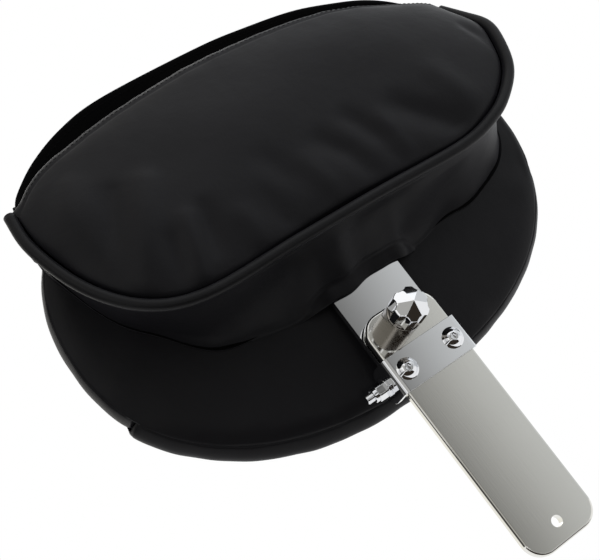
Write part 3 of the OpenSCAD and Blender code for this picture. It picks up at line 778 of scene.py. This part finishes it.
def pad_panel(name, seam, crown, sign, most, share):
    shares = [0.05, 0.11, 0.18, 0.25, 0.32, 0.39, 0.46, 0.52, 0.58, 0.64, 0.69, 0.74, 0.78, 0.82,
              0.855, 0.885, 0.91, 0.93, 0.947, 0.962, 0.975, 0.985, 0.993, 1.0]
    rings = []
    for s in shares:
        roll = 3.0 * max(0.0, (s - 0.90) / 0.10) ** 2.6
        ring = pad_ring(s, 0.0 if s < 1 else 0.9, seam + sign * (crown * (1 - s ** 2) - roll), AROUND)
        around = np.linspace(0, 2 * math.pi, AROUND, endpoint=False)
        pull = 0.35 * step(s, 0.80, 0.95) * (1 - step(s, 0.985, 1.0))
        if sign > 0:
            wider = 1 + 0.75 * belly(around) / pad_reach(around) * step(s, 0.3, 1.0)
            ring[:, 0] *= wider
            ring[:, 2] = PAD_UP + (ring[:, 2] - PAD_UP) * wider
        ring[:, 1] += sign * pull * ripple(around * 150, np.full(AROUND, s * 40), 26, 3)
        ring[:, 1] += sign * (0.5 + 0.5 * ripple(ring[:, 0], ring[:, 2], 90, 5)) * (1 - step(s, 0.9, 1))
        rings.append(ring)
    points, faces = disc(rings, (0, seam + sign * crown, PAD_UP))
    flat = points.copy()
    points = swell(points, most, share)
    points[:, 1] = sign * np.maximum(sign * points[:, 1], sign * flat[:, 1])
    points = over_the_foam(points, np.array([0.0, sign, 0.0]))
    return thicken(face_away(piece(name, points, faces), (0, 35, PAD_UP)), LEATHER)


rear_panel = pad_panel("pad_rear_panel", REAR_SEAM, REAR_CROWN, -1, 1.5, 0.3)
front_panel = pad_panel("pad_front_panel", FRONT_SEAM, FRONT_CROWN, 1, CUSHION_CAP, 1.0)
JOIN = math.atan2(47, 158)


def pad_band(name, first, last, count, bellied):
    """A strip of the side band between two angles, crowned between its seams."""
    a = np.linspace(first, last, count)
    rows = []
    for t in np.linspace(0, 1, 15):
        out = 1.6 * math.sin(math.pi * t) ** 0.7 - 0.8
        end = 1.1 * (np.exp(-(a - first) / 0.012) + np.exp(-(last - a) / 0.012))
        out += np.sin(math.pi * 0.72 * t) ** 0.9 * belly(a) if bellied else 0
        r = pad_reach(a) + out - end + 0.25 * ripple(a * 150, np.full(count, t * 12), 24, 9)
        y = REAR_SEAM + 2.6 + (BAND_WIDTH - 5.2) * t
        rows.append(np.stack([r * np.cos(a), np.full_like(a, y), PAD_UP + r * np.sin(a)], 1))
    points = swell(np.vstack(rows), 1.5, 0.4)
    outwards = points - (0, 0, PAD_UP)
    outwards[:, 1] = 0
    points = over_the_foam(points, unit(outwards))
    return thicken(face_away(piece(name, points, grid_faces(15, count)), (0, 35, PAD_UP)), LEATHER)


slit = 0.0025
lower_band = pad_band("pad_lower_band", math.pi + JOIN + slit, 2 * math.pi - JOIN - slit, 150, True)
upper_band = pad_band("pad_upper_band", -JOIN + slit, math.pi + JOIN - slit, 200, False)

# Pouch
COLS = 181
INSIDE = (0, -12, 272)
WELT_R = 3.6
welt_line = soften(smooth_line(WELT_LINE, COLS))
hem_line = soften(smooth_line(HEM_LINE, COLS), 4)
lip_line = soften(smooth_line(LIP_LINE, COLS), 2)
back_line = soften(smooth_line(BACK_LINE, COLS))
rim_line = soften(smooth_line(RIM_LINE, COLS))


def fold_height(x, z):
    total = np.zeros_like(x)
    for places, width, height in FOLDS:
        line = np.array([(a, u, 0.0) for a, u in places])
        line = even(line, 30)
        fade = np.sin(np.linspace(0.18, 0.92, 30) * math.pi) ** 0.7
        reach = np.zeros_like(x)
        for (a, u, _), strong in zip(line, fade):
            reach = np.maximum(reach, strong * np.exp(-((x - a) ** 2 + (z - u) ** 2) / width ** 2))
        total += 1.5 * height * reach
    return total


def grid_normals(grid, out_of):
    """Normals of a grid of points, pointing away from a place."""
    n = unit(np.cross(np.gradient(grid, axis=1), np.gradient(grid, axis=0)))
    turn = ((grid - np.asarray(out_of, float)) * n).sum(2).mean()
    return n if turn > 0 else -n


# The front panel runs from the hem down to the welt, full behind the hem
DOWN = 85
toward = at(0, 265, 45) - welt_line
toward[:, 1] *= 0.2
toward = unit(toward)
inner = welt_line + toward * (WELT_R + 0.1)
inner[0], inner[-1] = hem_line[0], hem_line[-1]
sv = (np.linspace(0, 1, DOWN) ** 1.35)[:, None]
front = hem_line[None] * (1 - sv[:, :, None]) + inner[None] * sv[:, :, None]
drop = np.linalg.norm(hem_line - inner, axis=1)[None, :]
full = np.clip(drop / drop.max(), 0, 1) ** 0.9
bulge = 44 * sv ** 0.6 * (1 - sv) ** 0.8 * full
front[:, :, 1] -= bulge
front[:, :, 2] += 0.12 * bulge
across, up = front[:, :, 0], front[:, :, 2]
room = np.clip(drop / 14, 0, 1)
from_hem, from_welt = sv * drop, (1 - sv) * drop
height = fold_height(across, up) * step(from_welt, 0, 9) * step(from_hem, 3, 20)
height += 0.75 * ripple(across, up, 70, 11) * step(from_welt, 0, 25) * step(from_hem, 4, 25)
height += 0.42 * ripple(across, up * 0.35, 17, 12) * np.exp(-from_welt / 11) * step(from_welt, 0.5, 4)
height += 0.20 * ripple(across, up * 0.4, 12, 13) * np.exp(-from_hem / 14)
height += 0.35 * (1 - step(from_hem, 5.6, 7.4)) * room
height -= 0.45 * np.exp(-((from_hem - 7.6) / 0.9) ** 2) * room
height -= 0.9 * np.exp(-from_hem / 0.8) * room
height -= 2.0 * np.exp(-from_welt / 1.6) * room
front = front + grid_normals(front, INSIDE) * height[:, :, None]
pouch_front = piece("pouch_front_panel", front.reshape(-1, 3), grid_faces(DOWN, COLS))
thicken(face_away(pouch_front, INSIDE), 1.6)

# The welt over the seam
out_of_pouch = np.tile([0.0, -1.0, -0.35], (COLS, 1))
welt = closed_tube("pouch_welt", tube(welt_line, 3.5, 3.8, out_of_pouch, 20))

# The gusset, from the welt to the pad. Its front edge is turned down as a lip over the bar.
across_bar = np.abs(lip_line[:, 0] - 1)
beside = step(across_bar, 30, 44)
on_pad = pad_rear_depth(lip_line[:, 0], lip_line[:, 2]) - 0.4
lip_line[:, 1] = np.where(lip_line[:, 2] < 300, lip_line[:, 1] * (1 - beside)
                          + np.minimum(on_pad, lip_line[:, 1] + 4) * beside, lip_line[:, 1])
raise_lip = 1.2 + 4.6 * (1 - step(across_bar, 30, 46)) * (lip_line[:, 2] < 200)
wavy = (1 - step(across_bar, 26, 40)) * (lip_line[:, 2] < 200)
lip_line[:, 2] += 0.45 * np.sin(lip_line[:, 0] / 3.7 + 1.0) * wavy
lip_line[:, 1] -= 0.8 * wavy
crease = lip_line + np.stack([0 * raise_lip, -0.35 * raise_lip, raise_lip], 1)
front_edge = welt_line + toward * 1.0
front_edge[:, 1] += 2.6
tv = (np.linspace(0, 1, 41) ** 1.3)[:, None]
gusset = front_edge[None] * (1 - tv[:, :, None]) + crease[None] * tv[:, :, None]
width = np.linalg.norm(front_edge - crease, axis=1)[None, :]
from_seam, from_crease = tv * width, (1 - tv) * width
gx, gy = gusset[:, :, 0], gusset[:, :, 1]
gusset_room = np.clip(width / 20, 0, 1)
height = -4.0 * np.sin(math.pi * tv) * gusset_room
height += 1.0 * np.exp(-((from_seam - 5.0) / 1.5) ** 2) * gusset_room
height -= 0.6 * np.exp(-((from_seam - 2.2) / 0.9) ** 2) * gusset_room
height -= 0.5 * np.exp(-((from_seam - 7.8) / 1.0) ** 2) * gusset_room
height += 0.8 * ripple(gx, gy, 55, 21) * step(from_seam, 6, 20) * step(from_crease, 1, 12)
height += 0.35 * ripple(gx, gy * 0.4, 18, 22) * np.exp(-from_crease / 10) * step(from_crease, 0.5, 3)
height += 1.3 * np.exp(-(from_crease / 1.1) ** 2) * (raise_lip > 3)[None, :]
height -= 0.9 * np.exp(-((from_crease - 3.0) / 1.2) ** 2) * (raise_lip > 3)[None, :]
gusset = gusset + grid_normals(gusset, INSIDE) * height[:, :, None]
flange = [gusset[-1] * (1 - q) + lip_line * q for q in (0.2, 0.4, 0.6, 0.8, 1.0)]
gusset = np.vstack([gusset, np.array(flange)])
pouch_gusset = piece("pouch_gusset_strip", gusset.reshape(-1, 3), grid_faces(len(gusset), COLS))
thicken(face_away(pouch_gusset, INSIDE), 1.4)

# The back panel, on the pad and leaning away from it up to the rim
loop = np.vstack([back_line, rim_line[::-1][1:-1]])
hub = np.array([0, 0, 262.0])
rings = []
for share in np.linspace(0.04, 1, 44) ** 0.9:
    ring = loop.copy()
    ring[:, 0] = share * loop[:, 0]
    ring[:, 2] = hub[2] + share * (loop[:, 2] - hub[2])
    lie = pad_rear_depth(ring[:, 0], ring[:, 2]) - 0.6
    lie = lie - 17 * np.clip((ring[:, 2] - 280) / 81, 0, 1)
    edge = step(share, 0.72, 1.0)
    on_pad = pad_rear_depth(ring[:, 0], ring[:, 2]) - 0.6
    ring[:, 1] = lie * (1 - edge) + np.minimum(loop[:, 1], on_pad) * edge
    rings.append(ring)
hub[1] = pad_rear_depth(0.0, 262.0) - 0.6
points, faces = disc(rings, hub)
pouch_back = thicken(face_away(piece("pouch_back_panel", points, faces), (0, -400, 262)), 1.6)


# Stitches, set along a line of places on the surface
def stitch_tree(material):
    tree = bpy.data.node_groups.new("row of stitches", "GeometryNodeTree")
    faces = tree.interface
    faces.new_socket("Geometry", in_out="INPUT", socket_type="NodeSocketGeometry")
    for label, value in (("Pitch", 0.0034), ("Stitch length", 0.0022), ("Thread thickness", 0.0005)):
        socket = faces.new_socket(label, in_out="INPUT", socket_type="NodeSocketFloat")
        socket.default_value = value
    faces.new_socket("Geometry", in_out="OUTPUT", socket_type="NodeSocketGeometry")
    new, link = tree.nodes.new, tree.links.new
    given, result = new("NodeGroupInput"), new("NodeGroupOutput")
    curve = new("GeometryNodeMeshToCurve")
    link(given.outputs["Geometry"], curve.inputs["Mesh"])
    spaced = new("GeometryNodeResampleCurve")
    spaced.mode = "LENGTH"
    link(curve.outputs["Curve"], spaced.inputs["Curve"])
    link(given.outputs["Pitch"], spaced.inputs["Length"])
    ball = new("GeometryNodeMeshUVSphere")
    ball.inputs["Segments"].default_value = 8
    ball.inputs["Rings"].default_value = 6
    ball.inputs["Radius"].default_value = 0.5
    size = new("ShaderNodeCombineXYZ")
    link(given.outputs["Stitch length"], size.inputs["X"])
    link(given.outputs["Thread thickness"], size.inputs["Y"])
    link(given.outputs["Thread thickness"], size.inputs["Z"])
    along = new("GeometryNodeInputTangent")
    turn = new("FunctionNodeAlignRotationToVector")
    turn.axis = "X"
    link(along.outputs["Tangent"], turn.inputs["Vector"])
    put = new("GeometryNodeInstanceOnPoints")
    link(spaced.outputs["Curve"], put.inputs["Points"])
    link(ball.outputs["Mesh"], put.inputs["Instance"])
    link(turn.outputs["Rotation"], put.inputs["Rotation"])
    link(size.outputs["Vector"], put.inputs["Scale"])
    real = new("GeometryNodeRealizeInstances")
    link(put.outputs["Instances"], real.inputs["Geometry"])
    finish = new("GeometryNodeSetMaterial")
    finish.inputs["Material"].default_value = material
    link(real.outputs["Geometry"], finish.inputs["Geometry"])
    link(finish.outputs["Geometry"], result.inputs["Geometry"])
    return tree


STITCH_PITCH = 0.0034
STITCHES = stitch_tree(THREAD)


def stitch_row(name, line):
    """A row of stitches along a line of places in millimetres, as one plain mesh."""
    mesh = bpy.data.meshes.new(name + "_path")
    count = len(line)
    mesh.from_pydata([tuple(p) for p in line / 1000], [(i, i + 1) for i in range(count - 1)], [])
    path = bpy.data.objects.new(name + "_path", mesh)
    bpy.context.scene.collection.objects.link(path)
    rows = path.modifiers.new("stitches", "NODES")
    rows.node_group = STITCHES
    names = {s.name: s.identifier for s in STITCHES.interface.items_tree if s.in_out == "INPUT"}
    rows[names["Pitch"]] = STITCH_PITCH
    deps = bpy.context.evaluated_depsgraph_get()
    made = bpy.data.meshes.new_from_object(path.evaluated_get(deps))
    bpy.data.objects.remove(path)
    made.name = name
    made.polygons.foreach_set("use_smooth", [True] * len(made.polygons))
    obj = bpy.data.objects.new(name, made)
    bpy.context.scene.collection.objects.link(obj)
    return obj


def line_on(grid, distance, wanted, normals, lift):
    """A line on a grid of places at a distance from its first row."""
    cols = range(grid.shape[1])
    line = [[np.interp(wanted, distance[:, j], (grid + lift * normals)[:, j, k]) for k in range(3)]
            for j in cols]
    return np.array(line)


front_normals = grid_normals(front, INSIDE)
hem_stitches = stitch_row("hem_stitches", line_on(front, from_hem, 5.2, front_normals, 0.02)[9:-9])
ridge_normals = grid_normals(gusset[:-5], INSIDE)
welt_stitches = stitch_row("welt_stitches", line_on(gusset[:-5], from_seam, 7.8, ridge_normals, 0.1)[6:-6])
rim_row = rings[-3].copy()
rim_row[:, 1] -= 1.7
rim_stitches = stitch_row("rim_stitches", rim_row[COLS + 8:-8])

for obj in (rear_panel, front_panel, lower_band, upper_band, pouch_front, pouch_gusset, pouch_back):
    dress(obj, BLACK_VINYL, INNER_CLOTH)
dress(welt, WELT_VINYL)

STANDS_FOR = {
    rear_panel: "rear_cover", front_panel: "front_cover", lower_band: "lower_band",
    upper_band: "upper_band", pouch_front: "pouch_front", pouch_gusset: "pouch_gusset",
    pouch_back: "pouch_back", welt: "pouch_piping",
}
for obj, node in STANDS_FOR.items():
    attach(obj, "backrest")
    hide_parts(node)
for obj in (hem_stitches, welt_stitches, rim_stitches):
    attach(obj, "backrest")


def cut_size(grid):
    """Flat width and length of a grid sheet and its area, in metres."""
    grid = grid / 1000
    gaps_across = np.linalg.norm(np.diff(grid, axis=1), axis=2)
    gaps_down = np.linalg.norm(np.diff(grid, axis=0), axis=2)
    a, b = grid[1:, 1:] - grid[:-1, :-1], grid[1:, :-1] - grid[:-1, 1:]
    area = 0.5 * np.linalg.norm(np.cross(a, b), axis=2).sum()
    return gaps_across.sum(1).max(), gaps_down.sum(0).max(), area


for obj, grid, rests in ((pouch_front, front, [welt]), (pouch_gusset, gusset, [welt, rear_panel])):
    wide, long, area = cut_size(grid)


# Floor, light and camera
def stage_plane(name, wide, long, centre, normal, material):
    mesh = bpy.data.meshes.new(name)
    x, y = wide / 2, long / 2
    mesh.from_pydata([(-x, -y, 0), (x, -y, 0), (x, y, 0), (-x, y, 0)], [], [(0, 1, 2, 3)])
    obj = bpy.data.objects.new(name, mesh)
    turn = Vector(normal).to_track_quat("Z", "Y").to_matrix().to_4x4()
    obj.matrix_world = Matrix.Translation(centre) @ turn
    bpy.context.scene.collection.objects.link(obj)
    obj.data.materials.append(material)
    return obj


def floor_finish():
    """Pale and matt, and plain white where metal mirrors it. To bounced light it is dark, which puts painted
    shade on the undersides of the object.
    """
    f = Finish("pale floor")
    mirrored = f.node("ShaderNodeLightPath", out="Is Glossy Ray")
    through = f.node("ShaderNodeLightPath", out="Is Transmission Ray")
    glow = f.node("ShaderNodeEmission", None, {"Color": colour(1, 1, 1), "Strength": 1.0})
    # Painted shade: to bounced light the floor is dark, so it lights the undersides of the object less
    bounced = f.node("ShaderNodeLightPath", out="Is Diffuse Ray")
    pale = f.mix(bounced, colour(0.9, 0.9, 0.9), colour(0.22, 0.21, 0.20))
    matt = f.node("ShaderNodeBsdfDiffuse", None, {"Color": pale})
    f.output(f.node("ShaderNodeMixShader", None, {0: mirrored + through, 1: matt, 2: glow}))
    return f.material


def flag_finish():
    f = Finish("black flag")
    f.output(f.node("ShaderNodeBsdfDiffuse", None, {"Color": colour(0.035, 0.028, 0.022)}))
    return f.material


stage_plane("floor", 4.4, 4.4, (0, 0, -0.30), (0, 0, 1), floor_finish())
flag = stage_plane("floor_flag", 1.6, 1.2, (-0.45, -0.75, -0.295), (0, 0, 1), flag_finish())
flag.visible_camera = flag.visible_diffuse = flag.visible_shadow = flag.visible_transmission = False


def lamp(name, place, aim, size, power, tint=(1, 1, 1)):
    data = bpy.data.lights.new(name, "AREA")
    data.shape = "SQUARE"
    data.size = size
    data.energy = power
    data.color = tint
    obj = bpy.data.objects.new(name, data)
    obj.visible_camera = False
    obj.location = place
    obj.rotation_mode = "QUATERNION"
    obj.rotation_quaternion = (Vector(place) - Vector(aim)).to_track_quat("Z", "Y")
    bpy.context.scene.collection.objects.link(obj)
    return obj


AIM = (0, 0, 0.2)
lamp("key lamp", (0.9, -1.3, 1.7), AIM, 2.7, 14, (0.95, 0.96, 1.0))
lamp("fill lamp", (-0.9, -1.7, 0.9), AIM, 1.6, 4).visible_glossy = False
lamp("side lamp", (-1.5, -1.0, 0.8), AIM, 1.4, 4)
lamp("rim lamp", (0.3, 1.5, 1.3), AIM, 1.2, 5)

world = bpy.data.worlds.new("studio")
bpy.context.scene.world = world
world.use_nodes = True
room_light = Shader(world.node_tree)
seen = room_light.node("ShaderNodeLightPath", out="Is Camera Ray")
dx, dy, dz = room_light.parts(room_light.node("ShaderNodeTexCoord", out="Generated"))
behind = 0.16 + 0.52 * room_light.step(dx, 0.36, 0.46) + 0.3 * (1.0 - room_light.step(dx, 0.0, 0.3))
ahead = room_light.step(dy, -0.2, 0.35)
level = behind * (1.0 - ahead) + ahead
left = room_light.step(0.0 - dx, 0.62, 0.85)
level = level * (1.0 - 0.9 * left)
high = room_light.step(dz, 0.45, 0.8)
level = level * (1.0 - high) + 0.62 * high
warm = room_light.mix(room_light.step(dx, 0.3, 0.5), colour(1.0, 0.985, 0.93), colour(0.965, 0.99, 1.0))
studio = room_light.node("ShaderNodeBackground", None, {"Color": warm, "Strength": level})
white = room_light.node("ShaderNodeBackground", None, {"Color": colour(1, 1, 1), "Strength": 1.0})
room_light.output(room_light.node("ShaderNodeMixShader", None, {0: seen, 1: studio, 2: white}),
                  "ShaderNodeOutputWorld")

camera_data = bpy.data.cameras.new("camera")
camera = bpy.data.objects.new("camera", camera_data)
bpy.context.scene.collection.objects.link(camera)
bpy.context.scene.camera = camera
camera_data.sensor_width = 36.0
camera_data.sensor_fit = "HORIZONTAL"
camera_data.lens = 76.46
camera_data.clip_start, camera_data.clip_end = 0.05, 50
camera.matrix_world = Matrix((
    (0.7875, 0.4934, -0.3694, -0.3114),
    (-0.1852, -0.3822, -0.9053, -0.6763),
    (-0.5878, 0.7813, -0.2096, 0.0406),
    (0, 0, 0, 1)))
bpy.context.scene.view_settings.view_transform = "Standard"
